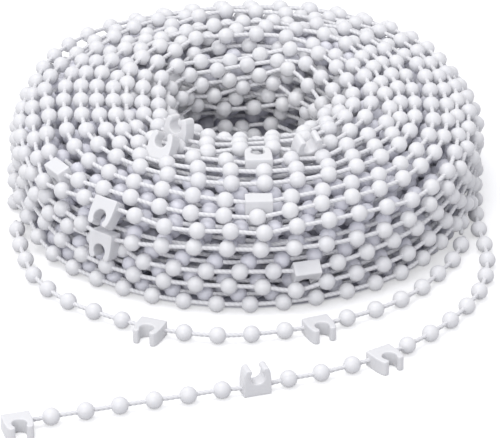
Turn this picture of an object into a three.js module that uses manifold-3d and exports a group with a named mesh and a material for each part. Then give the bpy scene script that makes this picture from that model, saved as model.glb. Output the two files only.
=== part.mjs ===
// White plastic bead chain for blinds: round beads and C-shaped hook clips moulded onto a thin cord.
// The chain is wound into a coil that lies flat. Its outermost turn has come loose in front of the coil,
// and the free end lies in front of that. Millimetres, +Z up.
import * as THREE from "three";
import { mergeVertices } from "three/addons/utils/BufferGeometryUtils.js";
import Module from "manifold-3d";

const wasm = await Module();
wasm.setup();

// Driving sizes of the chain
const beadDiameter = 3.1;
const beadPitch = 6;
const cordDiameter = 0.85;
const fitGap = 0.3; // clear space between separate solids that sit in or on each other

// Driving sizes of a hook clip: across the cord's run, away from the cord, and through the sheet of the C
const clipWidth = 5;
const clipDepth = 5.2;
const clipThickness = 2.8;
const clipShoulder = 3.1; // straight part of each side, from the back
const clipTipWidth = 3.9; // across the outsides of the two tips
const clipTipDrop = 0.7; // how far the rounding of the sides starts below the tips
const socketDiameter = 2.6; // takes the pin of a vane weight
const mouthWidth = 1.8;
const mouthFlare = 0.3; // how much each side of the mouth opens out to its tip
const clipWall = 0.42; // between the cord's bore and the clip's back, and between the bore and the socket

// Driving sizes of the coil's section, to the middle of its turns
const eyeRadius = 16;
const outerRadius = 46.8;
const crownRadius = 27;
const crownHeight = 21.2;
const shoulderInset = 0.4; // the shoulder from the outermost turn
const shoulderDrop = 4.6; // the shoulder from the crown
const cornerRadius = 3;
const rowSpacing = 3.3;
const grooveDepth = 0.4; // how far the surface dips between two turns, below their middles
const beadTop = 1.1; // along the cord, the flat top that stands for a bead's round one
const acrossShare = 0.935; // the turns are a little oval: their size across as a share of that front to back

// The turns on the floor sit a little to the front and left of those on top
const floorOffset = new THREE.Vector2(-0.95, -1.8);
const crownOffset = new THREE.Vector2(-0.3, 0.2);

// Fineness of the round shapes
const beadSides = 8;
const beadArcSteps = 4;
const cordSides = 8;
const cordStepsPerPitch = 2;
const clipCurveSteps = 6;

const beadRadius = beadDiameter / 2;
const cordRadius = cordDiameter / 2;
const boreRadius = cordRadius + fitGap;
const boreSetback = clipWall + boreRadius; // from the clip's back to the cord's middle
const shoulderRadius = outerRadius - shoulderInset;
const shoulderHeight = crownHeight - shoulderDrop;
const up = new THREE.Vector3(0, 0, 1);

// The free end on the floor, from its tip to where it joins the coil at the right. A point is an angle around
// the coil's foot in degrees, and its distance beyond the foot's outermost turn
const tailPoints = [
  { angle: 245.4, distance: 48.1 },
  { angle: 250.6, distance: 41.5 },
  { angle: 256.9, distance: 35.4 },
  { angle: 264.7, distance: 30.4 },
  { angle: 273.7, distance: 26.6 },
  { angle: 283, distance: 24.3 },
  { angle: 293.4, distance: 21.7 },
  { angle: 302.3, distance: 19.1 },
  { angle: 310.7, distance: 16.4 },
  { angle: 318.5, distance: 13.5 },
  { angle: 326.3, distance: 9.7 },
  { angle: 333.1, distance: 6.1 },
  { angle: 339.7, distance: 2.9 },
  { angle: 347.3, distance: 1 },
  { angle: 356.4, distance: 0.3 },
];

// The outermost turn, loose in front of the coil, from the coil's left to its right
const loopPoints = [
  { angle: 200, distance: 1.7 },
  { angle: 210.2, distance: 3.9 },
  { angle: 222.5, distance: 7.5 },
  { angle: 232.2, distance: 9.2 },
  { angle: 241.7, distance: 9.7 },
  { angle: 252.7, distance: 10.3 },
  { angle: 264.1, distance: 10.8 },
  { angle: 275.8, distance: 9.6 },
  { angle: 287.2, distance: 8.2 },
  { angle: 297.2, distance: 7.4 },
  { angle: 308, distance: 6.2 },
  { angle: 319.9, distance: 4 },
  { angle: 326.4, distance: 3.2 },
  { angle: 332.8, distance: 1.8 },
];

// What hangs on each loose stretch, in its order along the cord: b is a bead, F a clip that lies flat with
// its mouth towards the front, S a clip that stands on its back. Beads follow to the end of the stretch
const tailOrder = "F bbbbbb S bbb F";
const loopOrder = "bbbbbbbb F bbbb F";
const tailLead = 0; // from a stretch's first point to the first thing on it
const loopLead = 1.3;

// Clips on turns of the coil: angle around it, place as a share of the way from the outer edge on the floor
// over the coil to the eye's edge, and turn about the cord in degrees, where 0 opens straight out of the coil
const coilClips = [
  { name: "coil_clip_crown_left", angle: 238, along: 0.481, turn: -35 },
  { name: "coil_clip_rim_left", angle: 236.5, along: 0.594, turn: -10 },
  { name: "coil_clip_face_left", angle: 234.5, along: 0.14, turn: 80 },
  { name: "coil_clip_face_upper", angle: 235, along: 0.236, turn: 60 },
  { name: "coil_clip_side_left", angle: 215.5, along: 0.261, turn: 165 },
  { name: "coil_clip_face_right", angle: 284.5, along: 0.098, turn: 130 },
  { name: "coil_clip_shoulder", angle: 273, along: 0.316, turn: 165 },
  { name: "coil_clip_crown_front", angle: 274, along: 0.494, turn: -95 },
  { name: "coil_clip_crown_right", angle: 293, along: 0.531, turn: 20 },
];

const beadPlastic = new THREE.MeshStandardMaterial({ color: 0xeeeef2, roughness: 0.32, metalness: 0 });
const clipPlastic = new THREE.MeshStandardMaterial({ color: 0xf0f0f3, roughness: 0.36, metalness: 0 });
const cordThread = new THREE.MeshStandardMaterial({ color: 0xf2f2f4, roughness: 0.8, metalness: 0 });

// A closed three.js geometry as a solid that can be cut and joined
function solidFrom(geometry) {
  const bare = geometry.clone();
  bare.deleteAttribute("normal");
  bare.deleteAttribute("uv");
  const merged = mergeVertices(bare, 1e-4);
  return new wasm.Manifold(
    new wasm.Mesh({
      numProp: 3,
      vertProperties: merged.attributes.position.array,
      triVerts: new Uint32Array(merged.index.array),
    }),
  );
}

function geometryFrom(solid) {
  const mesh = solid.getMesh();
  const geometry = new THREE.BufferGeometry();
  geometry.setAttribute("position", new THREE.BufferAttribute(mesh.vertProperties, 3));
  geometry.setIndex(new THREE.BufferAttribute(mesh.triVerts, 1));
  geometry.computeVertexNormals();
  return geometry;
}

// A bead: a ball turned about Y, with the bore that the cord runs through
function beadGeometry() {
  const boreHalf = Math.sqrt(beadRadius ** 2 - boreRadius ** 2);
  const openAngle = Math.atan2(boreHalf, boreRadius);
  const profile = [];
  for (let i = 0; i <= beadArcSteps; i++) {
    const a = -openAngle + (2 * openAngle * i) / beadArcSteps;
    profile.push(new THREE.Vector2(beadRadius * Math.cos(a), beadRadius * Math.sin(a)));
  }
  profile.push(profile[0].clone());
  return new THREE.LatheGeometry(profile, beadSides);
}

// The C of a clip in X and Y, its back at the bottom and its mouth at the top
function clipOutline() {
  const socketRadius = socketDiameter / 2;
  const socketCentre = 2 * boreSetback + socketRadius;
  const mouthAngle = Math.acos(mouthWidth / 2 / socketRadius);
  const c = new THREE.Shape();
  c.moveTo(-clipWidth / 2, 0);
  c.lineTo(clipWidth / 2, 0);
  c.lineTo(clipWidth / 2, clipShoulder);
  c.quadraticCurveTo(clipWidth / 2, clipDepth - clipTipDrop, clipTipWidth / 2, clipDepth);
  c.lineTo(mouthWidth / 2 + mouthFlare, clipDepth);
  c.absarc(0, socketCentre, socketRadius, mouthAngle, Math.PI - mouthAngle, true);
  c.lineTo(-mouthWidth / 2 - mouthFlare, clipDepth);
  c.lineTo(-clipTipWidth / 2, clipDepth);
  c.quadraticCurveTo(-clipWidth / 2, clipDepth - clipTipDrop, -clipWidth / 2, clipShoulder);
  return c;
}

// A clip with the cord's middle at the origin: the cord runs along X, the mouth opens to +Y
function clipGeometry() {
  const sheet = new THREE.ExtrudeGeometry(clipOutline(), {
    depth: clipThickness,
    bevelEnabled: false,
    curveSegments: clipCurveSteps,
  });
  sheet.translate(0, -boreSetback, -clipThickness / 2);
  const bore = new THREE.CylinderGeometry(boreRadius, boreRadius, 2 * clipWidth, beadSides);
  bore.rotateZ(Math.PI / 2);
  return geometryFrom(solidFrom(sheet).subtract(solidFrom(bore)));
}

function clipEnvelope() {
  const box = new THREE.BoxGeometry(
    clipWidth + 2 * fitGap,
    clipDepth + 2 * fitGap,
    clipThickness + 2 * fitGap,
  );
  box.translate(0, clipDepth / 2 - boreSetback, 0);
  return box;
}

// The coil's axis leans: where it is at a height
function axisAt(height) {
  return floorOffset.clone().lerp(crownOffset, height / crownHeight);
}

// Everything on a loose stretch, at equal pitch along its hand-laid line on the floor
function thingsOn(points, order, lead) {
  const foot = axisAt(beadRadius);
  const laid = points.map(({ angle, distance }) => {
    const a = THREE.MathUtils.degToRad(angle);
    const across = acrossShare * outerRadius + distance;
    const deep = outerRadius + distance;
    return new THREE.Vector3(foot.x + across * Math.cos(a), foot.y + deep * Math.sin(a), 0);
  });
  const line = new THREE.CatmullRomCurve3(laid, false, "centripetal");
  const length = line.getLength();
  const heights = { b: beadRadius, F: clipThickness / 2, S: boreSetback };
  const kinds = order.replaceAll(" ", "");
  const things = [];
  for (let s = lead; s <= length; s += beadPitch) {
    const kind = kinds[things.length] ?? "b";
    const place = line.getPointAt(s / length);
    const along = line.getTangentAt(s / length);
    place.z = heights[kind];
    things.push({ kind, place, along });
  }
  return things;
}

// The cord's middle line through the things on it, with a stretch beyond each end
function cordLine(things, before, after) {
  const first = things[0];
  const last = things[things.length - 1];
  const points = things.map((t) => t.place);
  points.unshift(first.place.clone().addScaledVector(first.along, -before));
  points.push(last.place.clone().addScaledVector(last.along, after));
  return new THREE.CatmullRomCurve3(points, false, "centripetal");
}

// A tube of flat-sided section along a line
function tubeGeometry(line, radius, sides, steps) {
  const section = new THREE.Shape();
  for (let i = 0; i < sides; i++) {
    const a = (2 * Math.PI * (i + 0.5)) / sides;
    section[i ? "lineTo" : "moveTo"](radius * Math.cos(a), radius * Math.sin(a));
  }
  return new THREE.ExtrudeGeometry(section, { steps, bevelEnabled: false, extrudePath: line });
}

// The section's outline through the middles of the outer turns: over the coil from its edge on the floor
// to the eye's edge on the floor
function outlineOver() {
  const o = new THREE.Path();
  o.moveTo(outerRadius, beadRadius);
  o.bezierCurveTo(
    outerRadius,
    shoulderHeight / 2,
    outerRadius,
    shoulderHeight - cornerRadius,
    shoulderRadius,
    shoulderHeight,
  );
  o.bezierCurveTo(
    shoulderRadius - cornerRadius,
    shoulderHeight + cornerRadius,
    crownRadius + 3 * cornerRadius,
    crownHeight,
    crownRadius,
    crownHeight,
  );
  o.bezierCurveTo(
    eyeRadius + cornerRadius,
    crownHeight,
    eyeRadius,
    crownHeight - cornerRadius / 2,
    eyeRadius,
    crownHeight - 2 * cornerRadius,
  );
  o.lineTo(eyeRadius, beadRadius);
  return o;
}

function outlineUnder() {
  const o = new THREE.Path();
  o.moveTo(eyeRadius, beadRadius);
  o.lineTo(outerRadius, beadRadius);
  return o;
}

// Turns and the grooves between them around the whole section, counterclockwise, each with its middle as
// (radius, height) and its direction out of the coil
function coilRows() {
  const rows = [];
  for (const [path, under] of [[outlineUnder(), true], [outlineOver(), false]]) {
    const count = 2 * Math.round(path.getLength() / rowSpacing);
    for (let k = 0; k < count; k++) {
      rows.push({ middle: path.getPointAt(k / count), under, groove: k % 2 === 1 });
    }
  }
  rows.forEach((row, k) => {
    const before = rows.at(k - 1).middle;
    const after = rows[(k + 1) % rows.length].middle;
    const along = after.clone().sub(before).normalize();
    row.out = new THREE.Vector2(along.y, -along.x);
  });
  return rows;
}

// One ring of the coil's surface: each stop is a place along the pitch, as a share of it, and how far the
// surface stands out of the turn's middle there
function ringOf(row, stops, count, phase) {
  const ring = [];
  const axis = axisAt(row.middle.y);
  for (let i = 0; i < count; i++) {
    for (const [shift, stand] of stops) {
      const turn = (((i + shift + phase) / count) % 1) * 2 * Math.PI;
      const r = row.middle.x + stand * row.out.x;
      const z = row.middle.y + stand * row.out.y;
      const x = axis.x + acrossShare * r * Math.cos(turn);
      ring.push({ turn, point: [x, axis.y + r * Math.sin(turn), z] });
    }
  }
  return ring.sort((a, b) => a.turn - b.turn);
}

// Triangles between two rings that may differ in their number of points
function stitch(a, aStart, b, bStart, triangles) {
  const turnOf = (ring, i) => ring[i % ring.length].turn + (i >= ring.length ? 2 * Math.PI : 0);
  let i = 0;
  let j = 0;
  while (i < a.length || j < b.length) {
    const here = [aStart + (i % a.length), bStart + (j % b.length)];
    const stepA = j >= b.length || (i < a.length && turnOf(a, i + 1) < turnOf(b, j + 1));
    if (stepA) {
      triangles.push(here[0], aStart + ((i + 1) % a.length), here[1]);
      i++;
    } else {
      triangles.push(here[0], bStart + ((j + 1) % b.length), here[1]);
      j++;
    }
  }
}

// The wound turns as one solid: rows of beads with the cord between them, and a groove between two rows.
// Underneath, a bead is only the point that it stands on
function coilSolid() {
  const beadShare = beadRadius / beadPitch;
  const topShare = beadTop / 2 / beadPitch;
  const topStand = Math.sqrt(beadRadius ** 2 - (beadTop / 2) ** 2);
  const beadStops = [
    [topShare, topStand],
    [beadShare, cordRadius],
    [1 - beadShare, cordRadius],
    [1 - topShare, topStand],
  ];
  const grooveStops = [
    [0.25, -grooveDepth],
    [0.75, -grooveDepth],
  ];
  const rings = [];
  let count = 0;
  let phase = 0;
  for (const row of coilRows()) {
    if (!row.groove) {
      count = Math.round((Math.PI * (1 + acrossShare) * row.middle.x) / beadPitch);
      phase = 0.5 - phase;
    }
    let stops = row.groove ? grooveStops : beadStops;
    if (row.under) stops = row.groove ? [[0.5, -grooveDepth]] : [[0, beadRadius]];
    rings.push(ringOf(row, stops, count, phase));
  }
  const vertices = [];
  const triangles = [];
  const starts = rings.map((ring) => {
    const start = vertices.length / 3;
    ring.forEach((p) => vertices.push(...p.point));
    return start;
  });
  rings.forEach((ring, k) => {
    const next = (k + 1) % rings.length;
    stitch(ring, starts[k], rings[next], starts[next], triangles);
  });
  return new wasm.Manifold(
    new wasm.Mesh({
      numProp: 3,
      vertProperties: new Float32Array(vertices),
      triVerts: new Uint32Array(triangles),
    }),
  );
}

// Where a clip sits on a turn of the coil, as a matrix
function coilClipPlace(clip, outline) {
  const middle = outline.getPointAt(clip.along);
  const along = outline.getTangentAt(clip.along);
  const axis = axisAt(middle.y);
  const a = THREE.MathUtils.degToRad(clip.angle);
  const around = new THREE.Vector3(-acrossShare * Math.sin(a), Math.cos(a), 0).normalize();
  const outwards = new THREE.Vector3(along.y * around.y, -along.y * around.x, -along.x);
  outwards.applyAxisAngle(around, THREE.MathUtils.degToRad(clip.turn));
  const place = new THREE.Matrix4().makeBasis(around, outwards, around.clone().cross(outwards));
  const x = axis.x + acrossShare * middle.x * Math.cos(a);
  return place.setPosition(x, axis.y + middle.x * Math.sin(a), middle.y);
}

// Where a clip or bead sits on a loose stretch: X of the clip and Y of the bead run along the cord
function loosePlace(thing) {
  const flat = thing.along.clone().setZ(0).normalize();
  if (thing.kind === "b") {
    return new THREE.Matrix4()
      .makeBasis(flat.clone().cross(up), flat, up)
      .setPosition(thing.place);
  }
  const front = up.clone().cross(flat);
  if (front.y > 0) front.negate();
  const mouth = thing.kind === "S" ? up : front;
  return new THREE.Matrix4().makeBasis(flat, mouth, flat.clone().cross(mouth)).setPosition(thing.place);
}

const chain = new THREE.Group();

function addPiece(name, geometry, material, place) {
  const mesh = new THREE.Mesh(geometry, material);
  mesh.name = name;
  if (place) mesh.applyMatrix4(place);
  chain.add(mesh);
}

const bead = beadGeometry();
const clip = clipGeometry();
const outline = outlineOver();
const stretches = [
  { name: "tail", things: thingsOn(tailPoints, tailOrder, tailLead), before: clipWidth / 2 - fitGap },
  { name: "loop", things: thingsOn(loopPoints, loopOrder, loopLead), before: beadPitch / 2 },
];

// The loose stretches, and the room that the coil leaves for them and for its clips
let coil = coilSolid();
for (const stretch of stretches) {
  const { name, things, before } = stretch;
  const after = beadPitch / 2;
  const steps = things.length * cordStepsPerPitch;
  addPiece(
    name + "_cord",
    tubeGeometry(cordLine(things, before, after), cordRadius, cordSides, steps),
    cordThread,
  );
  const room = tubeGeometry(
    cordLine(things, before + fitGap, after + fitGap),
    beadRadius + fitGap,
    cordSides,
    steps,
  );
  coil = coil.subtract(solidFrom(room));
  const counts = { bead: 0, clip: 0 };
  for (const thing of things) {
    const kind = thing.kind === "b" ? "bead" : "clip";
    counts[kind] += 1;
    const number = String(counts[kind]).padStart(2, "0");
    const [geometry, material] = kind === "bead" ? [bead, beadPlastic] : [clip, clipPlastic];
    addPiece(`${name}_${kind}_${number}`, geometry, material, loosePlace(thing));
  }
}
const envelope = clipEnvelope();
for (const coilClip of coilClips) {
  const place = coilClipPlace(coilClip, outline);
  addPiece(coilClip.name, clip, clipPlastic, place);
  coil = coil.subtract(solidFrom(envelope.clone().applyMatrix4(place)));
}
addPiece("wound_coil", geometryFrom(coil), beadPlastic);

// The origin is the middle of the chain's footprint, on the floor
const footprint = new THREE.Box3().setFromObject(chain, true);
const centre = footprint.getCenter(new THREE.Vector3());
chain.position.set(-centre.x, -centre.y, -footprint.min.z);

export default chain;
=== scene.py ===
import math

import bpy
import numpy as np
from mathutils import Matrix, Vector


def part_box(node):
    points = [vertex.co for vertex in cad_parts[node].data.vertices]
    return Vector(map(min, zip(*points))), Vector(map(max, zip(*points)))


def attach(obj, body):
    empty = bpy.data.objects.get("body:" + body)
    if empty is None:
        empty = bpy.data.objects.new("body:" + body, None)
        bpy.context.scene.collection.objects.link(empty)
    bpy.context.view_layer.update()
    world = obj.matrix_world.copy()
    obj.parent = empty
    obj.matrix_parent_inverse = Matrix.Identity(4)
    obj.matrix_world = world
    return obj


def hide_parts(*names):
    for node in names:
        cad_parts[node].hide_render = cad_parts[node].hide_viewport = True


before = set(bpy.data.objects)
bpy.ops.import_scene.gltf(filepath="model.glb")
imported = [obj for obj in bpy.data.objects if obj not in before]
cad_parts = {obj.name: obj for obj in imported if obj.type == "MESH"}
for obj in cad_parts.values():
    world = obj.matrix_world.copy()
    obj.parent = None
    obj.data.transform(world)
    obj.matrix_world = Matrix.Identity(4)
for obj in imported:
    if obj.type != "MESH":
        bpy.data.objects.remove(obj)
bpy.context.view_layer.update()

mm = 0.001
hair = 0.01 * mm       # a step along a line for its direction, and a margin for picking vertices
up = np.array([0.0, 0.0, 1.0])
dice = np.random.default_rng(41)

# What the whole chain is made with
chain = dict(
    bead=3.1 * mm,      # diameter of a bead
    pitch=6.0 * mm,     # from one bead to the next
    cord=0.85 * mm,     # diameter of the cord
)
beadRadius = chain["bead"] / 2
cordRadius = chain["cord"] / 2

# The hook clip: a sheet with a C cut into it, its back to the cord
clip = dict(
    width=5.0 * mm,       # along the cord
    depth=5.2 * mm,       # away from the cord
    thickness=2.8 * mm,   # through the sheet
    shoulder=3.1 * mm,    # straight part of each side, from the back
    tipWidth=3.9 * mm,    # across the outsides of the two tips
    socket=2.6 * mm,      # diameter of the C
    mouth=1.8 * mm,       # narrowest gap between the tips
    flare=0.3 * mm,       # how far each side of the mouth opens outwards
    setback=1.145 * mm,   # from the back to the middle of the cord
    curve=0.35,           # of the narrowing to the tips, what is reached two thirds of the way there
    socketSides=36,
    grid=0.1 * mm,        # of the even mesh that its edges are smoothed on
    smoothing=34,         # times
    softness=0.5,         # of each time
    keep=0.3,             # share of that mesh's faces that is kept
)

# The coil's section, to the middle of its turns, and how its axis leans
coil = dict(
    eye=16.0 * mm,
    outer=46.8 * mm,
    crown=27.0 * mm,
    height=21.2 * mm,
    shoulderInset=0.4 * mm,
    shoulderDrop=4.6 * mm,
    corner=3.0 * mm,
    rows=3.3 * mm,        # from turn to turn
    shells=2.9 * mm,      # and from one shell of turns to the next
    across=0.935,         # the oval's size across, as a share of that from front to back
    footShift=np.array([-0.95, -1.8]) * mm,
    crownShift=np.array([-0.3, 0.2]) * mm,
)
oval = np.array([coil["across"], 1.0])

print("camera")
view = dict(
    place=(0.46 * mm, -524.6 * mm, 284.2 * mm),
    tilt=62.0,            # degrees up from straight down
    lens=230.6,
    near=0.01,            # where its view starts
)
bpy.ops.object.camera_add(location=view["place"], rotation=(math.radians(view["tilt"]), 0, 0))
camera = bpy.context.object
camera.name = "camera"
camera.data.lens = view["lens"]
camera.data.clip_start = view["near"]
bpy.context.scene.camera = camera


# Lines: rows of points, one after another along something

def lengthsAlong(line):
    return np.concatenate([[0], np.cumsum(np.linalg.norm(np.diff(line, axis=0), axis=1))])


def pointsAt(line, distances):
    s = lengthsAlong(line)
    return np.stack([np.interp(distances, s, column) for column in line.T], axis=-1)


def directionsOf(line):
    d = np.gradient(line, axis=0)
    return d / np.linalg.norm(d, axis=1)[:, None]


# The line's direction at distances along it
def directionsAt(line, distances):
    d = pointsAt(line, distances + hair) - pointsAt(line, distances - hair)
    return d / np.linalg.norm(d, axis=-1, keepdims=True)


# A smooth line through points, with its knots spaced by the root of their distance
def smoothLine(points, steps):
    p = np.asarray(points, float)
    p = np.vstack([2 * p[0] - p[1], p, 2 * p[-1] - p[-2]])
    knot = np.linalg.norm(np.diff(p, axis=0), axis=1) ** 0.5
    t = np.linspace(0, 1, steps, endpoint=False)[:, None]
    out = []
    for i in range(1, len(p) - 2):
        a, b, c = knot[i - 1], knot[i], knot[i + 1]
        leave = b * ((p[i] - p[i - 1]) / a - (p[i + 1] - p[i - 1]) / (a + b) + (p[i + 1] - p[i]) / b)
        reach = b * ((p[i + 1] - p[i]) / b - (p[i + 2] - p[i]) / (b + c) + (p[i + 2] - p[i + 1]) / c)
        gap = p[i + 1] - p[i]
        out.append(p[i] + leave * t + (3 * gap - 2 * leave - reach) * t**2 + (leave + reach - 2 * gap) * t**3)
    return np.vstack(out + [p[-2:-1]])


# A curve from one point to another, drawn towards two more on the way
def bezierLine(a, b, c, d, steps=60):
    t = np.linspace(0, 1, steps, endpoint=False)[:, None]
    a, b, c, d = (np.array(p) for p in (a, b, c, d))
    return a * (1 - t) ** 3 + 3 * b * t * (1 - t) ** 2 + 3 * c * t**2 * (1 - t) + d * t**3


# The section's outline through the outer turns as (radius, height), from the outer edge on the floor over the
# coil to the eye. Deeper shells of turns have the same outline, further in
def outlineOf(inset):
    outer, eye, top = coil["outer"] - inset, coil["eye"] + inset, coil["height"] - inset
    share = (outer - eye) / (coil["outer"] - coil["eye"])
    corner = coil["corner"] * share
    shoulder = (outer - coil["shoulderInset"] * share, top - coil["shoulderDrop"] * share)
    crown = (eye + (coil["crown"] - coil["eye"]) * share, top)
    side = bezierLine((outer, beadRadius), (outer, shoulder[1] / 2), (outer, shoulder[1] - corner), shoulder)
    rise = shoulder[0] - corner, shoulder[1] + corner
    over = bezierLine(shoulder, rise, (crown[0] + 3 * corner, top), crown)
    inner = bezierLine(crown, (eye + corner, top), (eye, top - corner / 2), (eye, top - 2 * corner))
    return np.vstack([side, over, inner, [[eye, top - 2 * corner], [eye, beadRadius]]])


outline = outlineOf(0)
outlineLength = lengthsAlong(outline)[-1]


# The coil's axis leans: where it is at a height
def axisAt(height):
    share = np.asarray(height)[..., None] / coil["height"]
    return coil["footShift"] * (1 - share) + coil["crownShift"] * share


def onCoil(section, angle):
    ring = np.stack([np.cos(angle), np.sin(angle)], axis=-1)
    flat = axisAt(section[..., 1]) + section[..., :1] * ring * oval
    return np.concatenate([flat, section[..., 1:]], axis=-1)


print("loose stretches")
# Angle around the coil's foot in degrees, and distance in mm beyond its outermost turn
looseEnd = dict(
    points=[(245.4, 48.1), (250.6, 41.5), (256.9, 35.4), (264.7, 30.4), (273.7, 26.6), (283, 24.3),
            (293.4, 21.7), (302.3, 19.1), (310.7, 16.4), (318.5, 13.5), (326.3, 9.7), (333.1, 6.1),
            (339.7, 2.9), (347.3, 1), (356.4, 0.3)],
    order="F bbbbbb S bbb F",   # F lies flat, S stands on its back, b is a bead, and beads follow to the end
    lead=0.0,
    before=2.2 * mm,            # cord before the first thing
)
looseTurn = dict(
    points=[(200, 1.7), (210.2, 3.9), (222.5, 7.5), (232.2, 9.2), (241.7, 9.7), (252.7, 10.3),
            (264.1, 10.8), (275.8, 9.6), (287.2, 8.2), (297.2, 7.4), (308, 6.2), (319.9, 4),
            (326.4, 3.2), (332.8, 1.8)],
    order="bbbbbbbb F bbbb F",
    lead=1.3 * mm,
    before=chain["pitch"] / 2,
)


def layStretch(plan):
    angle = np.radians([a for a, beyond in plan["points"]])
    beyond = np.array([beyond for a, beyond in plan["points"]]) * mm
    across, deep = coil["across"] * coil["outer"] + beyond, coil["outer"] + beyond
    foot = axisAt(beadRadius)
    laid = np.stack([foot[0] + across * np.cos(angle), foot[1] + deep * np.sin(angle), 0 * angle], axis=-1)
    line = smoothLine(laid, 200)
    places = np.arange(plan["lead"], lengthsAlong(line)[-1], chain["pitch"])
    kinds = plan["order"].replace(" ", "").ljust(len(places), "b")
    heights = dict(b=beadRadius, F=clip["thickness"] / 2, S=clip["setback"])
    middles = pointsAt(line, places)
    middles[:, 2] = [heights[kind] for kind in kinds]
    return kinds, middles, directionsAt(line, places)


# The cord through a stretch's things, and beyond its first and last
def cordOf(middles, ahead, before, after):
    ends = middles[:1] - ahead[:1] * before, middles[-1:] + ahead[-1:] * after
    return smoothLine(np.vstack([ends[0], middles, ends[1]]), 24)


endKinds, endPlaces, endAhead = layStretch(looseEnd)
turnKinds, turnPlaces, turnAhead = layStretch(looseTurn)
stretches = (("tail", endKinds, endPlaces, endAhead), ("loop", turnKinds, turnPlaces, turnAhead))

# The frame's origin is the middle of the footprint, and these places are from the coil's axis
low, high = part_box("tail_bead_01")
toFrame = np.array((low + high) / 2) - endPlaces[1]
toFrame[2] = 0


# A clip's place has the cord along X and the mouth towards Y
def frameOf(along, mouth, middle):
    m = np.eye(4)
    m[:3, 0], m[:3, 1], m[:3, 2], m[:3, 3] = along, mouth, np.cross(along, mouth), middle
    return m


def looseClipPlaces(kinds, middles, ahead):
    places = []
    for kind, middle, along in zip(kinds, middles, ahead):
        front = np.cross(up, along)
        front = front if front[1] < 0 else -front
        if kind != "b":
            places.append(frameOf(along, up if kind == "S" else front, middle))
    return places


print("winding")
# Clips on the coil: angle around it, share of the way over its outline, turn about the cord where 0 opens
# straight out of the coil, and the turn of chain that it is on
coilClips = dict(
    coil_clip_crown_left=(238, 0.481, -35, 9),
    coil_clip_rim_left=(236.5, 0.594, -10, 11),
    coil_clip_face_left=(234.5, 0.14, 80, 3),
    coil_clip_face_upper=(235, 0.236, 60, 4),
    coil_clip_side_left=(215.5, 0.261, 165, 5),
    coil_clip_face_right=(284.5, 0.098, 130, 2),
    coil_clip_shoulder=(273, 0.316, 165, 6),
    coil_clip_crown_front=(274, 0.494, -95, 9),
    coil_clip_crown_right=(293, 0.531, 20, 10),
)
winding = dict(
    shells=5,
    turns=60,            # in all: the innermost shell isn't full
    start=332.8,         # degrees, where the loose turn goes into the coil
    crossing=80.0,       # degrees that a turn takes to move over to the next place
    crossFrom=-40.0,     # crossings start between these angles, away from the front
    crossTo=165.0,
    wander=0.65 * mm,    # how far a turn strays along the section, at most places
    swell=0.3 * mm,      # and in and out of it
    neat=0.55,           # share of that in front, where the turns lie side by side
    waves=7,             # that make up the stray
    waveShare=0.55,      # of it, for each
    perTurn=(0.6, 5.5),  # how many of each wave there are in a turn, from and to
    bend=26.0,           # degrees over which a turn bends to a clip
    lead=60.0,           # and over which the first one comes in from the loose turn
    backRun=(8, 30, 65, 100, 135, 165, 188),   # degrees, for the run behind the coil at its foot
    apartRow=5.3,        # the turn on the outer shoulder, which stands out from the others at the back
    apart=1.7 * mm,
    # Stretches around the coil, in degrees: each comes in over the first pair and ends over the second
    front=((196, 222), (312, 336)),
    noRun=((188, 208), (332, 352)),   # where no run lies at the foot
    back=((15, 50), (135, 170)),
)


def clipPlaceOnCoil(angle, share, turn):
    reach = outlineLength * share
    middle, along = pointsAt(outline, reach), directionsAt(outline, reach)
    a = math.radians(angle)
    around = Vector((-coil["across"] * math.sin(a), math.cos(a), 0)).normalized()
    outwards = Vector((along[1] * around.y, -along[1] * around.x, -along[0]))
    outwards.rotate(Matrix.Rotation(math.radians(turn), 3, around))
    return frameOf(np.array(around), np.array(outwards), onCoil(middle, np.array(a)))


# Where each turn lies in the section, from the outermost on the floor inwards, and the turns at which the
# shells end
def turnPlaces2d():
    places, ends = [], []
    for shell in range(winding["shells"]):
        line = outlineOf(shell * coil["shells"])
        length = lengthsAlong(line)[-1]
        count = round(length / coil["rows"])
        rows = pointsAt(line, np.arange(count) * length / count)
        places.extend(rows if shell % 2 == 0 else rows[::-1])
        ends.append(len(places))
    return np.array(places[:winding["turns"]]), ends


def smooth(x):
    return x * x * (3 - 2 * x)


# 1 in a stretch around the coil, and 0 outside it
def within(degrees, stretch):
    (a, b), (c, d) = stretch
    return np.clip((degrees - a) / (b - a), 0, 1) * np.clip((d - degrees) / (d - c), 0, 1)


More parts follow.
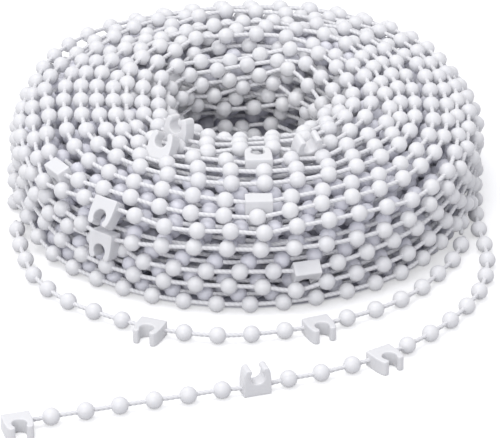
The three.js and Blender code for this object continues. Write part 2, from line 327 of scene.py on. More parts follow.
# The turns as one line around the coil, with a point for each degree. Their stray is the sum of a few waves
def woundLine(turns):
    count = (len(turns) - 1) * 360 + 1
    around = np.arange(count) / 360
    angle = math.radians(winding["start"]) + 2 * math.pi * around
    share = np.zeros(count)
    for k in range(len(turns) - 1):
        begin = k + (dice.uniform(winding["crossFrom"], winding["crossTo"]) - winding["start"] + 360) / 360
        rise = np.clip((around - begin) / (winding["crossing"] / 360), 0, 1)
        share += smooth(rise)
    # In front the outer shell's turns spread down into the place that the loose turn left on the floor, and
    # behind they make room for the run at the foot
    degrees = np.degrees(angle) % 360
    front = within(degrees, winding["front"])
    behind = 1 - within(degrees, winding["noRun"])
    rows = round(outlineLength / coil["rows"])
    share += behind * np.clip(1 - share / rows, 0, 1)
    share -= front * np.clip(1 - (share - 1) / (rows - 1), 0, 1)
    share = np.maximum(share, 0)
    index = np.arange(len(turns))
    section = np.stack([np.interp(share, index, turns[:, i]) for i in (0, 1)], axis=-1)
    stray = np.zeros((count, 2))
    for amount, column in ((winding["wander"], 0), (winding["swell"], 1)):
        for wave in range(winding["waves"]):
            stray[:, column] += amount * winding["waveShare"] * (1 - (1 - winding["neat"]) * front) * np.sin(
                2 * math.pi * (dice.uniform(*winding["perTurn"]) * around + dice.uniform())
            )
    # All of it on that turn, and none of it on the next
    onRow = np.clip(1.5 - 1.5 * np.abs(share - winding["apartRow"]), 0, 1)
    apart = winding["apart"] * within(degrees, winding["back"]) * onRow
    return section, stray, angle, around, apart


turns, shellEnds = turnPlaces2d()
print("turns", len(turns))
section, stray, angle, around, apart = woundLine(turns)
calm = np.ones(len(around))   # 0 at a clip, where the turn doesn't stray
pins = []
for name, (clipAngle, share, turn, row) in coilClips.items():
    at = row + ((clipAngle - winding["start"]) % 360) / 360
    near = smooth(np.clip(1 - np.abs(around - at) * 360 / winding["bend"], 0, 1))
    target = pointsAt(outline, outlineLength * share)
    section += near[:, None] * (target - section)
    calm *= 1 - near
    pins.append((at, name))
outwards = section - [(coil["outer"] + coil["eye"]) / 2, coil["height"] / 3]   # from low in the section
outwards /= np.linalg.norm(outwards, axis=1)[:, None]
sideways = outwards[:, ::-1] * [-1, 1]
aside, out = calm * stray[:, 0], calm * stray[:, 1] + apart
section = section + aside[:, None] * sideways + out[:, None] * outwards
section[:, 1] = np.maximum(section[:, 1], beadRadius)
wound = onCoil(section, angle)

# The first turn starts where the loose one goes in
lead = np.clip(1 - around * 360 / winding["lead"], 0, 1)[:, None]
wound += smooth(lead) * (turnPlaces[-1] - wound[0])

# Things at the pitch along it, so that each clip has its own
s = lengthsAlong(wound)
pins.sort()
pinLengths = np.array([0] + [np.interp(at, around, s) for at, name in pins] + [s[-1]])
pinIndex = np.cumsum(np.concatenate([[0], np.round(np.diff(pinLengths) / chain["pitch"])])).astype(int)
placeLengths = np.interp(np.arange(pinIndex[-1]), pinIndex, pinLengths)
coilPlaces = pointsAt(wound, placeLengths)
coilPins = {int(i): name for i, (at, name) in zip(pinIndex[1:-1], pins)}
coilClipFrames = {name: clipPlaceOnCoil(*plan[:3]) for name, plan in coilClips.items()}

# The run at the coil's foot, behind it, from the free end to the loose turn
backRun = onCoil(np.array([[coil["outer"], beadRadius]] * len(winding["backRun"])),
                 np.radians(winding["backRun"]))
backLine = smoothLine(np.vstack([endPlaces[-1], backRun, turnPlaces[0]]), 40)
backCount = round(lengthsAlong(backLine)[-1] / chain["pitch"])
backPlaces = pointsAt(backLine, np.linspace(0, lengthsAlong(backLine)[-1], backCount + 1))


# How the things then find room
packing = dict(
    rounds=260,
    quickRounds=40,
    search=10,           # rounds from one search for near things to the next
    nearBead=1.35,       # bead diameters within which two things are near
    nearCord=0.8,        # pitches from a cord's middle
    nearBall=1.5 * mm,   # beyond touching, for what stays where it is
    gap=0.02 * mm,       # kept between two beads
    haste=1.3,           # how much of each push is made at once
    proud=0.25 * mm,     # how far a thing may stand out of the coil's outline
    back=0.6,            # how much of the rest is taken back at once
    # The balls that stand for a clip, in mm along the cord and away from it
    clipBalls=[(-1.5, 0.2), (0, 0.2), (1.5, 0.2), (-1.9, 2.9), (1.9, 2.9), (-1.6, 1.6), (1.6, 1.6)],
    clipBall=1.2 * mm,
)


# Which things are nearer than they may be, and what would part them
def pushesOf(delta, least):
    distance = np.linalg.norm(delta, axis=1)
    close = distance < least
    share = delta[close] / np.maximum(distance[close], 1e-9)[:, None]
    return close, share * (least - distance)[close][:, None]


def addPushes(move, count, index, weight, push):
    for axis in range(3):
        move[:, axis] += np.bincount(index, weight * push[:, axis], len(move))
    count += np.bincount(index, np.abs(np.broadcast_to(weight, index.shape)), len(move))


# Each thing keeps the pitch to its neighbours on the cord, clear of other things, the cords and the balls. It
# stays on the floor and, but for the room that it has, inside the coil's outline
def settle(places, links, fixed, room, balls, ballRadii, rounds):
    n = len(places)
    outlineAlong = directionsOf(outline)
    start = places.copy()
    a, b = links
    isLink = np.zeros((n, n), bool)
    isLink[a, b] = isLink[b, a] = True
    for step in range(rounds):
        if step % packing["search"] == 0:
            # Near pairs: two things (i, j), a thing and a link (p, q), a thing and a ball (u, v)
            gap = np.linalg.norm(places[:, None] - places[None], axis=2)
            i, j = np.nonzero(np.triu(gap < chain["bead"] * packing["nearBead"], 1))
            keep = ~isLink[i, j]
            i, j = i[keep], j[keep]
            middles = (places[a] + places[b]) / 2
            gap = np.linalg.norm(places[:, None] - middles[None], axis=2)
            p, q = np.nonzero(gap < chain["pitch"] * packing["nearCord"])
            keep = (p != a[q]) & (p != b[q])
            p, q = p[keep], q[keep]
            gap = np.linalg.norm(places[:, None] - balls[None], axis=2)
            u, v = np.nonzero(gap < beadRadius + ballRadii[None] + packing["nearBall"])
        # Each link to the pitch, every second one at a time
        for half in (0, 1):
            e = np.arange(half, len(a), 2)
            d = places[b[e]] - places[a[e]]
            length = np.linalg.norm(d, axis=1)[:, None]
            pull = d / length * (length - chain["pitch"]) / 2
            places[a[e]] += pull
            places[b[e]] -= pull
            places[fixed] = start[fixed]
        # Things apart from each other, from the cords and from the balls
        move, count = np.zeros((n, 3)), np.zeros(n)
        close, push = pushesOf(places[i] - places[j], chain["bead"] + packing["gap"])
        addPushes(move, count, i[close], 1.0, push / 2)
        addPushes(move, count, j[close], -1.0, push / 2)
        way = places[b[q]] - places[a[q]]
        t = np.einsum("ij,ij->i", places[p] - places[a[q]], way) / np.einsum("ij,ij->i", way, way)
        t = np.clip(t, 0, 1)
        close, push = pushesOf(places[p] - (places[a[q]] + way * t[:, None]), beadRadius + cordRadius)
        for index, weight in ((p, np.ones(len(p))), (a[q], t - 1), (b[q], -t)):
            addPushes(move, count, index[close], weight[close], push / 2)
        close, push = pushesOf(places[u] - balls[v], beadRadius + ballRadii[v])
        addPushes(move, count, u[close], 1.0, push)
        places += move / np.maximum(count, 1)[:, None] * packing["haste"]
        # What stands out too far goes back towards the outline
        height = places[:, 2]
        flat = (places[:, :2] - axisAt(height)) / oval
        radius = np.linalg.norm(flat, axis=1)
        point = np.stack([radius, height], axis=-1)
        away = point[:, None] - outline[None]
        nearest = np.argmin(np.einsum("ijk,ijk->ij", away, away), axis=1)
        outward = outlineAlong[nearest][:, ::-1] * [1, -1]
        proud = np.einsum("ij,ij->i", point - outline[nearest], outward)
        back = np.maximum(proud - packing["proud"] - room, 0)[:, None] * outward * packing["back"]
        places[:, :2] -= flat / radius[:, None] * back[:, :1] * oval
        places[:, 2] -= back[:, 1]
        places[:, 2] = np.maximum(places[:, 2], beadRadius)
        places[fixed] = start[fixed]
    return places


# The run at the foot and the coil are two chains of links, whose ends and clips stay where they are
nBack = len(backPlaces)
everything = np.vstack([backPlaces, turnPlaces[-1:], coilPlaces[1:]])
room = np.concatenate([np.zeros(nBack + 1), np.interp(placeLengths[1:], s, apart)])
fixed = np.zeros(len(everything), bool)
fixed[[0, nBack - 1, nBack]] = True
for index, name in coilPins.items():
    everything[nBack + index] = coilClipFrames[name][:3, 3]
    fixed[nBack + index] = True
first = np.array([k for k in range(len(everything) - 1) if k != nBack - 1])
ballPlaces, ballSizes = [], []
for place in list(endPlaces[:-1]) + list(turnPlaces[1:-1]):
    ballPlaces.append(place)
    ballSizes.append(beadRadius)
for m in coilClipFrames.values():
    for x, y in packing["clipBalls"]:
        ballPlaces.append(m[:3, 3] + m[:3, :3] @ np.array([x * mm, y * mm, 0]))
        ballSizes.append(packing["clipBall"])
settled = settle(everything, (first, first + 1), fixed, room, np.array(ballPlaces), np.array(ballSizes),
                 packing["rounds"])
backPlaces, coilPlaces = settled[:nBack], settled[nBack:]
gaps = np.linalg.norm(np.diff(coilPlaces, axis=0), axis=1) / mm
print("things on the coil", len(coilPlaces), "pitch", gaps.min().round(2), gaps.max().round(2))


# Materials: one class for maths on sockets, with a method that adds any other node
class Sock:
    def __init__(self, tree, out=None):
        self.tree = tree
        self.out = out

    def node(self, kind, settings={}, sockets={}, out=0):
        made = self.tree.nodes.new(kind)
        for key, value in settings.items():
            setattr(made, key, value)
        for key, value in sockets.items():
            if isinstance(value, Sock):
                self.tree.links.new(value.out, made.inputs[key])
            else:
                made.inputs[key].default_value = value
        return Sock(self.tree, made.outputs[out]) if len(made.outputs) else made

    def maths(self, operation, *values):
        return self.node("ShaderNodeMath", dict(operation=operation), dict(enumerate(values)))

    def __add__(self, other):
        return self.maths("ADD", self, other)

    def __radd__(self, other):
        return self.maths("ADD", other, self)

    def __sub__(self, other):
        return self.maths("SUBTRACT", self, other)

    def __rsub__(self, other):
        return self.maths("SUBTRACT", other, self)

    def __mul__(self, other):
        return self.maths("MULTIPLY", self, other)

    def __rmul__(self, other):
        return self.maths("MULTIPLY", other, self)


def blankMaterial(name):
    material = bpy.data.materials.new(name)
    material.use_nodes = True
    material.node_tree.nodes.clear()
    return material, Sock(material.node_tree)


def mixColour(sock, factor, a, b):
    return sock.node("ShaderNodeMix", dict(data_type="RGBA"), {0: factor, 6: (*a, 1), 7: (*b, 1)}, out=2)


print("materials")
plastic = dict(
    light=(0.8, 0.8, 0.815),
    grey=(0.765, 0.765, 0.79),
    # Painted shade: the clips are the beads' white plastic, a little darker so that their flat faces, which
    # catch more light, don't stand out as white blocks
    clipLight=(0.77, 0.77, 0.785),
    clipGrey=(0.735, 0.735, 0.76),
    clipTones=0.6,       # tones of clips are between 0 and this, and those of beads up to 1
    deep=(0.78, 0.78, 0.845),   # painted shade inside the coil: darker, lavender beads where the gaps between turns are dark lavender
    ownTone=0.7,         # a thing's own tone, beside the mottle
    mottle=260.0,        # per metre
    grain=2600.0,
    grainDepth=0.012 * mm,
    grainStrength=0.5,
    shine=(0.3, 0.42),   # roughness, from and to
    seamWidth=0.012,     # of the way around
    seamDepth=0.03 * mm,
    seamStrength=0.6,
    index=1.49,          # of refraction
    glow=0.12,           # light that goes in and comes out again
    glowReach=0.8 * mm,
    glowTint=(1.0, 0.95, 0.9),
)


# Moulded white plastic: a bead or clip has its own tone, with a faint mottle, grain and moulding seam
def plasticMaterial(name, seam, light, grey):
    material, sock = blankMaterial(name)
    place = sock.node("ShaderNodeTexCoord", out="Object")
    tone = sock.node("ShaderNodeAttribute", dict(attribute_name="tone"), out="Fac")
    mottle = sock.node("ShaderNodeTexNoise", {}, dict(Vector=place, Scale=plastic["mottle"], Detail=3.0))
    grain = sock.node("ShaderNodeTexNoise", {}, dict(Vector=place, Scale=plastic["grain"], Detail=2.0))
    own = plastic["ownTone"]
    colour = mixColour(sock, tone * own + mottle * (1 - own), light, grey)
    low, high = plastic["shine"]
    rough = low + (high - low) * (mottle * 0.5 + grain * 0.5)
    normal = sock.node("ShaderNodeBump", {}, dict(
        Strength=plastic["grainStrength"], Distance=plastic["grainDepth"], Height=grain))
    if seam:
        uv = sock.node("ShaderNodeTexCoord", out="UV")
        around = sock.node("ShaderNodeSeparateXYZ", {}, dict(Vector=uv), out="X")
        nearSeam = (around * 2).maths("FRACT", around * 2) - 0.5
        ridge = nearSeam.maths("COMPARE", nearSeam, 0.0, plastic["seamWidth"])
        normal = sock.node("ShaderNodeBump", {}, dict(
            Strength=plastic["seamStrength"], Distance=plastic["seamDepth"], Height=ridge, Normal=normal))
    surface = sock.node("ShaderNodeBsdfPrincipled", {}, {
        "Base Color": colour, "Roughness": rough, "Normal": normal, "IOR": plastic["index"],
        "Subsurface Weight": plastic["glow"], "Subsurface Scale": plastic["glowReach"],
        "Subsurface Radius": plastic["glowTint"]})
    sock.node("ShaderNodeOutputMaterial", {}, dict(Surface=surface))
    return material


thread = dict(
    light=(0.85, 0.85, 0.86),
    # the colour in the grooves between strands is darker: painted shade
    groove=(0.72, 0.72, 0.76),
    strands=3,
    lay=2.8 * mm,        # length in which a strand goes once around
    fibres=11.0,         # fine fibres across a strand
    fibreTilt=0.6,       # how steeply they lie across it
    depth=0.05 * mm,     # of the grooves between strands
    fibreDepth=0.012 * mm,
    crestPower=0.6,      # below 1 the grooves between strands are narrow
    fuzz=4200.0,         # per metre
    shades=(0.8, 0.1, 0.1),   # shares of the strands, fibres and fuzz in the colour
    bumps=(0.6, 0.4),    # and of the fibres and fuzz in the fine bumps
    rough=(0.7, 0.95),
    sheen=0.2,
    sheenRough=0.5,
)


# Twisted thread, by the UV map: U is turns of the lay along the cord, V the way around it
def threadMaterial(name, strandDepth):
    material, sock = blankMaterial(name)
    uv = sock.node("ShaderNodeTexCoord", out="UV")
    along = sock.node("ShaderNodeSeparateXYZ", {}, dict(Vector=uv), out="X")
    around = sock.node("ShaderNodeSeparateXYZ", {}, dict(Vector=uv), out="Y")
    turn = (around - along) * (2 * math.pi * thread["strands"])
    crest = turn.maths("COSINE", turn) * 0.5 + 0.5
    fibre = (around * thread["fibreTilt"] + along) * (2 * math.pi * thread["strands"] * thread["fibres"])
    fibre = fibre.maths("SINE", fibre) * 0.5 + 0.5
    place = sock.node("ShaderNodeTexCoord", out="Object")
    fuzz = sock.node("ShaderNodeTexNoise", {}, dict(Vector=place, Scale=thread["fuzz"], Detail=3.0))
    a, b, c = thread["shades"]
    # Painted shade: the colour darkens into the grooves between strands, over their bumps on the coil's cord
    # and their real lobes on the loose cords; the fibres and fuzz are the thread's own texture
    shade = crest.maths("POWER", crest, thread["crestPower"]) * a + fibre * b + fuzz * c
    colour = mixColour(sock, shade, thread["groove"], thread["light"])
    a, b = thread["bumps"]
    height = crest * strandDepth + (fibre * a + fuzz * b) * thread["fibreDepth"]
    normal = sock.node("ShaderNodeBump", {}, dict(Strength=1.0, Distance=1.0, Height=height))
    low, high = thread["rough"]
    surface = sock.node("ShaderNodeBsdfPrincipled", {}, {
        "Base Color": colour, "Roughness": low + fuzz * (high - low), "Normal": normal,
        "Sheen Weight": thread["sheen"], "Sheen Roughness": thread["sheenRough"]})
    sock.node("ShaderNodeOutputMaterial", {}, dict(Surface=surface))
    return material


beadPlastic = plasticMaterial("bead plastic", True, plastic["light"], plastic["grey"])
# The second and inner shells' beads: the same plastic in a darker, lavender colour, which is painted shade
paintedShadePlastic = plasticMaterial("bead plastic in the coil, painted shade", False, plastic["deep"], plastic["deep"])
# The clips' plastic takes the painted shade of its darker colours
clipPlastic = plasticMaterial("clip plastic", False, plastic["clipLight"], plastic["clipGrey"])
flatThread = threadMaterial("twisted thread", thread["depth"])
laidThread = threadMaterial("laid thread", 0.0)


def deselect():
    if bpy.context.object and bpy.context.object.mode != "OBJECT":
        bpy.ops.object.mode_set(mode="OBJECT")
    bpy.ops.object.select_all(action="DESELECT")


# Selects an object's vertices by a test of their place, for the edit operators
def pick(piece, test):
    bpy.ops.object.mode_set(mode="OBJECT")
    for part in (piece.data.polygons, piece.data.edges):
        part.foreach_set("select", np.zeros(len(part), bool))
    for v in piece.data.vertices:
        v.select = bool(test(v.co))
    bpy.ops.object.mode_set(mode="EDIT")
    bpy.ops.mesh.select_mode(type="VERT")


def applyPlace(piece):
    deselect()
    piece.select_set(True)
    bpy.context.view_layer.objects.active = piece
    bpy.ops.object.transform_apply(location=True, rotation=True, scale=True)


print("beads")
beadModel = dict(
    dimple=0.88,         # how far out the poles of a fine bead stay, as a share of the radius
    fineSides=28,
    fineRings=18,
    sides=12,
    rings=8,
    full=1.02,           # a plain bead has few sides, so that its corners stand out by this share
)


# A ball with its poles on the cord. A fine one has a dimple where the cord goes in
def modelBead(sides, rings, radius, dimple):
    deselect()
    bpy.ops.mesh.primitive_uv_sphere_add(segments=sides, ring_count=rings, radius=radius)
    bead = bpy.context.object
    bead.rotation_euler = (0, math.radians(90), 0)
    applyPlace(bead)
    pick(bead, lambda co: abs(co.x) > radius - hair)
    bpy.ops.transform.resize(value=(dimple, 1, 1))
    bpy.ops.object.mode_set(mode="OBJECT")
    bpy.ops.object.shade_smooth()
    return bead


# Places that put a model's X along the cord, rolled at random about it
def framesOn(places, ahead):
    frames = []
    for place, x in zip(places, ahead):
        side = np.cross(x, up)
        side /= np.linalg.norm(side)
        roll = dice.uniform(0, 2 * math.pi)
        y = side * math.cos(roll) + np.cross(x, side) * math.sin(roll)
        frames.append(frameOf(x, y, place))
    return frames


def addPiece(name, mesh, material):
    mesh.materials.append(material)
    piece = bpy.data.objects.new(name, mesh)
    bpy.context.scene.collection.objects.link(piece)
    return piece


# One mesh with a copy of the model at each place, and a tone of its own for each copy
def scatter(name, model, frames, material):
    mesh = model.data
    n = len(frames)
    co = np.zeros(len(mesh.vertices) * 3)
    mesh.vertices.foreach_get("co", co)
    co = np.hstack([co.reshape(-1, 3), np.ones((len(mesh.vertices), 1))])
    copies = np.einsum("kij,vj->kvi", np.array(frames), co)[:, :, :3]
    corners = np.zeros(len(mesh.loops), int)
    mesh.loops.foreach_get("vertex_index", corners)
    starts = np.zeros(len(mesh.polygons), int)
    mesh.polygons.foreach_get("loop_start", starts)
    uv = np.zeros(len(mesh.loops) * 2)
    mesh.uv_layers.active.data.foreach_get("uv", uv)
    made = bpy.data.meshes.new(name)
    made.vertices.add(n * len(co))
    made.vertices.foreach_set("co", copies.ravel())
    made.loops.add(n * len(corners))
    step = np.arange(n)[:, None]
    made.loops.foreach_set("vertex_index", (corners[None] + step * len(co)).ravel())
    made.polygons.add(n * len(starts))
    made.polygons.foreach_set("loop_start", (starts[None] + step * len(corners)).ravel())
    made.uv_layers.new(name="UVMap").data.foreach_set("uv", np.tile(uv, n))
    made.update(calc_edges=True)
    made.polygons.foreach_set("use_smooth", np.ones(len(made.polygons), bool))
    tones = np.repeat(dice.uniform(0, 1, n), len(co))
    made.attributes.new("tone", "FLOAT", "POINT").data.foreach_set("value", tones.astype(np.float32))
    made.validate()
    return addPiece(name, made, material)


def finishPiece(piece, slot, *nodes):
    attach(piece, "root")
    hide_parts(*nodes)


fineBead = modelBead(beadModel["fineSides"], beadModel["fineRings"], beadRadius, beadModel["dimple"])
smallBead = modelBead(beadModel["sides"], beadModel["rings"], beadRadius * beadModel["full"], 1.0)
looseBeads = dict(tail=[], loop=[])
for stretch, kinds, places, ahead in stretches:
    beads = [k for k, kind in enumerate(kinds) if kind == "b"]
    for number, m in enumerate(framesOn(places[beads] + toFrame, ahead[beads]), 1):
        node = f"{stretch}_bead_{number:02d}"
        piece = scatter("loose_" + node, fineBead, [m], beadPlastic)
        finishPiece(piece, "bead", node)
        looseBeads[stretch].append(piece)

turnOf = np.interp(np.arange(len(coilPlaces)), pinIndex, np.interp(pinLengths, s, around))
isBead = np.array([k > 0 and k not in coilPins for k in range(len(coilPlaces))])
frames = np.array(framesOn(coilPlaces + toFrame, directionsOf(coilPlaces)))
backFrames = framesOn(backPlaces[1:-1] + toFrame, directionsOf(backPlaces)[1:-1])
for name, low, high in (("coil_beads_outer", 0, shellEnds[0]),
                        ("coil_beads_second", shellEnds[0], shellEnds[1]),
                        ("coil_beads_inner", shellEnds[1], shellEnds[-1] + 1)):
    chosen = list(frames[isBead & (turnOf >= low) & (turnOf < high)])
    chosen += backFrames if low == 0 else []
    # the outer shell has the plain plastic, the deeper shells the painted shade
    piece = scatter(name, smallBead, chosen, beadPlastic if low == 0 else paintedShadePlastic)
    finishPiece(piece, "bead", "wound_coil")
    print(name, len(chosen))


print("clips")


# A block with straight sides to the shoulder and narrower at the tips, its C and mouth cut out of it, and its
# edges smoothed round as on a moulding
def modelClip():
    deselect()
    w, d, t = clip["width"], clip["depth"], clip["thickness"]
    bpy.ops.mesh.primitive_cube_add(size=1, location=(0, d / 2 - clip["setback"], 0), scale=(w, d, t))
    body = bpy.context.object
    applyPlace(body)
    shoulder = clip["shoulder"] - clip["setback"]
    tips = d - clip["setback"]
    for y in (shoulder, (shoulder + 2 * tips) / 3):
        bpy.ops.object.mode_set(mode="EDIT")
        bpy.ops.mesh.select_all(action="SELECT")
        bpy.ops.mesh.bisect(plane_co=(0, y, 0), plane_no=(0, 1, 0))
    pick(body, lambda co: co.y > tips - hair)
    narrow = clip["tipWidth"] / w
    bpy.ops.transform.resize(value=(narrow, 1, 1))
    pick(body, lambda co: shoulder + hair < co.y < tips - hair)
    bpy.ops.transform.resize(value=(clip["curve"] * narrow + (1 - clip["curve"]), 1, 1))
    bpy.ops.object.mode_set(mode="OBJECT")
    radius = clip["socket"] / 2
    middle = clip["setback"] + radius
    deselect()
    bpy.ops.mesh.primitive_cylinder_add(
        vertices=clip["socketSides"], radius=radius, depth=2 * t, location=(0, middle, 0))
    socket = bpy.context.object
    deselect()
    bpy.ops.mesh.primitive_cube_add(size=1, location=(0, tips, 0), scale=(clip["mouth"], d, 2 * t))
    mouth = bpy.context.object
    applyPlace(mouth)
    neck = middle + math.sqrt(radius**2 - clip["mouth"]**2 / 4)
    bpy.ops.object.mode_set(mode="EDIT")
    bpy.ops.mesh.select_all(action="SELECT")
    bpy.ops.mesh.bisect(plane_co=(0, neck, 0), plane_no=(0, -1, 0), use_fill=True, clear_outer=True)
    pick(mouth, lambda co: co.y > tips)
    flare = clip["flare"] * (d / 2) / (tips - neck)
    bpy.ops.transform.resize(value=(1 + 2 * flare / clip["mouth"], 1, 1))
    bpy.ops.object.mode_set(mode="OBJECT")
    for cutter in (socket, mouth):
        applyPlace(cutter)
        cut = body.modifiers.new("cut", "BOOLEAN")
        cut.operation, cut.object = "DIFFERENCE", cutter
        deselect()
        bpy.context.view_layer.objects.active = body
        bpy.ops.object.modifier_apply(modifier=cut.name)
        bpy.data.objects.remove(cutter)
    even = body.modifiers.new("even", "REMESH")
    even.mode, even.voxel_size = "VOXEL", clip["grid"]
    soft = body.modifiers.new("soft", "SMOOTH")
    soft.factor, soft.iterations = clip["softness"], clip["smoothing"]
    fewer = body.modifiers.new("fewer", "DECIMATE")
    fewer.ratio = clip["keep"]
    deselect()
    body.select_set(True)
    bpy.context.view_layer.objects.active = body
    for step in (even, soft, fewer):
        bpy.ops.object.modifier_apply(modifier=step.name)
    bpy.ops.object.shade_smooth()
    return body


clipModel = modelClip()


def placeClip(node, m):
    mesh = clipModel.data.copy()
    mesh.transform(Matrix(m.tolist()))
    mesh.attributes.new("tone", "FLOAT", "POINT")
    tone = np.full(len(mesh.vertices), dice.uniform(0, plastic["clipTones"]), np.float32)
    mesh.attributes["tone"].data.foreach_set("value", tone)
    piece = addPiece("hook_" + node, mesh, clipPlastic)
    finishPiece(piece, "clip", node)
    return piece


def shifted(m):
    out = m.copy()
    out[:3, 3] += toFrame
    return out


looseHooks = dict(tail=[], loop=[])
for stretch, kinds, places, ahead in stretches:
    for number, m in enumerate(looseClipPlaces(kinds, places, ahead), 1):
        looseHooks[stretch].append(placeClip(f"{stretch}_clip_{number:02d}", shifted(m)))
coilHooks = [placeClip(name, shifted(m)) for name, m in coilClipFrames.items()]
for model in (fineBead, smallBead, clipModel):
    bpy.data.objects.remove(model)


print("cords")


# A tube along a line, closed at its ends. Its lobes are the strands, which turn once in each lay
def tubeOn(name, line, sides, lobes, material):
    n = len(line)
    tangent = directionsOf(line)
    side = np.cross(tangent[0], up)
    side /= np.linalg.norm(side)
    s = lengthsAlong(line)
    angle = 2 * math.pi * np.arange(sides) / sides
    rings = np.zeros((n, sides, 3))
    for k in range(n):
        side = side - tangent[k] * (side @ tangent[k])
        side /= np.linalg.norm(side)
        other = np.cross(tangent[k], side)
        a = angle + (2 * math.pi * s[k] / thread["lay"] if lobes else 0)
        r = cordRadius * (1 - lobes * 0.5 * (1 - np.cos(thread["strands"] * angle))[:, None])
        rings[k] = line[k] + r * (side * np.cos(a)[:, None] + other * np.sin(a)[:, None])
    points = np.vstack([rings.reshape(-1, 3), line[:1], line[-1:]])
    k, j = np.divmod(np.arange((n - 1) * sides), sides)
    nextJ = (j + 1) % sides
    here, ahead = k * sides, (k + 1) * sides
    quads = np.stack([here + j, ahead + j, ahead + nextJ, here + nextJ], axis=-1)
    rim, nextRim, last = j[:sides], nextJ[:sides], (n - 1) * sides
    firstCap = np.stack([rim, nextRim, np.full(sides, n * sides)], axis=-1)
    lastCap = np.stack([last + nextRim, last + rim, np.full(sides, n * sides + 1)], axis=-1)
    mesh = bpy.data.meshes.new(name)
    mesh.from_pydata(points.tolist(), [], quads.tolist() + firstCap.tolist() + lastCap.tolist())
    turns = s / thread["lay"]
    u = np.stack([turns[k], turns[k + 1], turns[k + 1], turns[k]], axis=-1)
    v = np.stack([j, j, j + 1, j + 1], axis=-1) / sides + (u if lobes else 0)
    loops = np.zeros((len(mesh.loops), 2))
    loops[:u.size] = np.stack([u.ravel(), v.ravel()], axis=-1)
    mesh.uv_layers.new(name="UVMap").data.foreach_set("uv", loops.ravel())
    mesh.polygons.foreach_set("use_smooth", np.ones(len(mesh.polygons), bool))
    mesh.update()
    return addPiece(name, mesh, material)


cordPlan = dict(
    looseSides=18,
    looseStep=0.22 * mm,
    strandDip=0.18,      # how far the strands' grooves go in, as a share of the radius
    coilSides=6,
    coilSteps=4,         # rings from bead to bead
)


def looseCord(name, node, plan, middles, ahead):
    route = cordOf(middles, ahead, plan["before"], chain["pitch"] / 2) + toFrame
    count = round(lengthsAlong(route)[-1] / cordPlan["looseStep"])
    route = pointsAt(route, np.linspace(0, lengthsAlong(route)[-1], count))
    piece = tubeOn(name, route, cordPlan["looseSides"], cordPlan["strandDip"], laidThread)
    finishPiece(piece, "cord", node)


looseCord("free_end_cord", "tail_cord", looseEnd, endPlaces, endAhead)
looseCord("loose_turn_cord", "loop_cord", looseTurn, turnPlaces, turnAhead)


def coilCord(name, places):
    route = smoothLine(places, cordPlan["coilSteps"]) + toFrame
    piece = tubeOn(name, route, cordPlan["coilSides"], 0.0, flatThread)
    finishPiece(piece, "cord", "wound_coil")


def trimmed(places, cut):
    line = places.copy()
    line[0] += (places[1] - places[0]) * cut
    return line


coilCord("foot_run_cord", trimmed(trimmed(backPlaces, 0.5)[::-1], 0.5))
coilCord("coil_cord", trimmed(coilPlaces, 0.5))


print("stage and light")
stage = dict(
    size=6.0,
    floor=(0.7, 0.7, 0.71),
    bounce=(0.42, 0.42, 0.43),   # the floor as the object's light sees it
    shade=(0.72, 0.72, 0.8),     # and under the coil, between its lowest turns: painted shade, a lavender floor without the lift
    shadeFrom=0.33,      # of the coil's radius: the floor in its eye isn't shaded
    shadeTo=0.955,
    shadeEdge=0.02,
    lift=0.45,           # light that only the camera and reflections see, so that the floor is white
    sky=(0.95, 0.955, 1.0),
    skyStrength=0.75,
)


# 1 for rays from the camera, reflections and glass
def seenRay(sock):
    seen = [sock.node("ShaderNodeLightPath", out=name)
            for name in ("Is Camera Ray", "Is Glossy Ray", "Is Transmission Ray")]
    return seen[0].maths("MAXIMUM", seen[0].maths("MAXIMUM", seen[0], seen[1]), seen[2])


deselect()
bpy.ops.mesh.primitive_plane_add(size=stage["size"])
floor = bpy.context.object
floor.name = "floor"
material, sock = blankMaterial("white floor")
matt = sock.node("ShaderNodeBsdfDiffuse", {}, dict(Color=(*stage["floor"], 1)))
glow = sock.node("ShaderNodeEmission", {}, dict(Color=(1, 1, 1, 1), Strength=stage["lift"]))
both = sock.node("ShaderNodeAddShader", {}, {0: matt, 1: glow})
dull = sock.node("ShaderNodeBsdfDiffuse", {}, dict(Color=(*stage["bounce"], 1)))
lit = sock.node("ShaderNodeMixShader", {}, {0: seenRay(sock), 1: dull, 2: both})
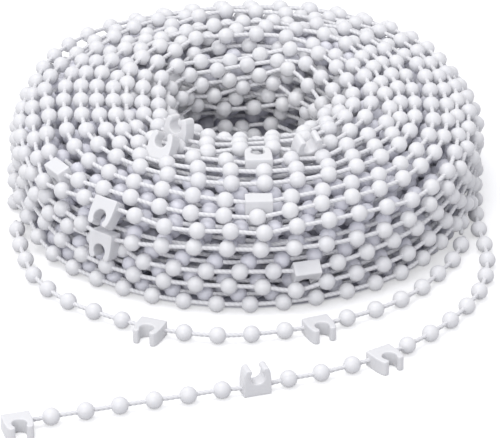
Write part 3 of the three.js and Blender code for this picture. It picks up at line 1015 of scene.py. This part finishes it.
# Under the coil the floor has no lift and a lavender colour: painted shade, added to the real shade there
dark = sock.node("ShaderNodeBsdfDiffuse", {}, dict(Color=(*stage["shade"], 1)))
middle = toFrame[:2] + axisAt(0.0)
place = sock.node("ShaderNodeTexCoord", out="Object")
fromMiddle = sock.node("ShaderNodeVectorMath", dict(operation="SUBTRACT"), {0: place, 1: (*middle, 0)})
reach = (*(coil["outer"] * oval), 1)
fromMiddle = sock.node("ShaderNodeVectorMath", dict(operation="DIVIDE"), {0: fromMiddle, 1: reach})
distance = sock.node("ShaderNodeVectorMath", dict(operation="LENGTH"), {0: fromMiddle}, out="Value")
beyond = distance - stage["shadeTo"]
clear = beyond.maths("MAXIMUM", beyond, stage["shadeFrom"] - distance) * (1 / stage["shadeEdge"]) + 0.5
clear = clear.maths("MINIMUM", clear.maths("MAXIMUM", clear, 0.0), 1.0)
surface = sock.node("ShaderNodeMixShader", {}, {0: clear, 1: dark, 2: lit})
sock.node("ShaderNodeOutputMaterial", {}, dict(Surface=surface))
floor.data.materials.append(material)

world = bpy.data.worlds.new("studio")
world.use_nodes = True
world.node_tree.nodes.clear()
bpy.context.scene.world = world
sock = Sock(world.node_tree)
white = sock.node("ShaderNodeBackground", {}, dict(Color=(1, 1, 1, 1), Strength=1.0))
sky = sock.node("ShaderNodeBackground", {}, dict(Color=(*stage["sky"], 1), Strength=stage["skyStrength"]))
surface = sock.node("ShaderNodeMixShader", {}, {0: seenRay(sock), 1: sky, 2: white})
sock.node("ShaderNodeOutputWorld", {}, dict(Surface=surface))

lamps = dict(
    key=dict(place=(-0.35, 0.15, 1.5), size=0.8, power=7.4, colour=(1.0, 0.99, 0.97)),
    front=dict(place=(-0.5, -1.3, 0.9), size=1.0, power=9.5, colour=(1.0, 1.0, 1.0)),
)
for name, lamp in lamps.items():
    aim = (-Vector(lamp["place"])).to_track_quat("-Z", "Y").to_euler()
    bpy.ops.object.light_add(type="AREA", location=lamp["place"], rotation=aim)
    light = bpy.context.object
    light.name = name
    light.data.size = lamp["size"]
    light.data.energy = lamp["power"]
    light.data.color = lamp["colour"]

bpy.context.scene.view_settings.view_transform = "Standard"
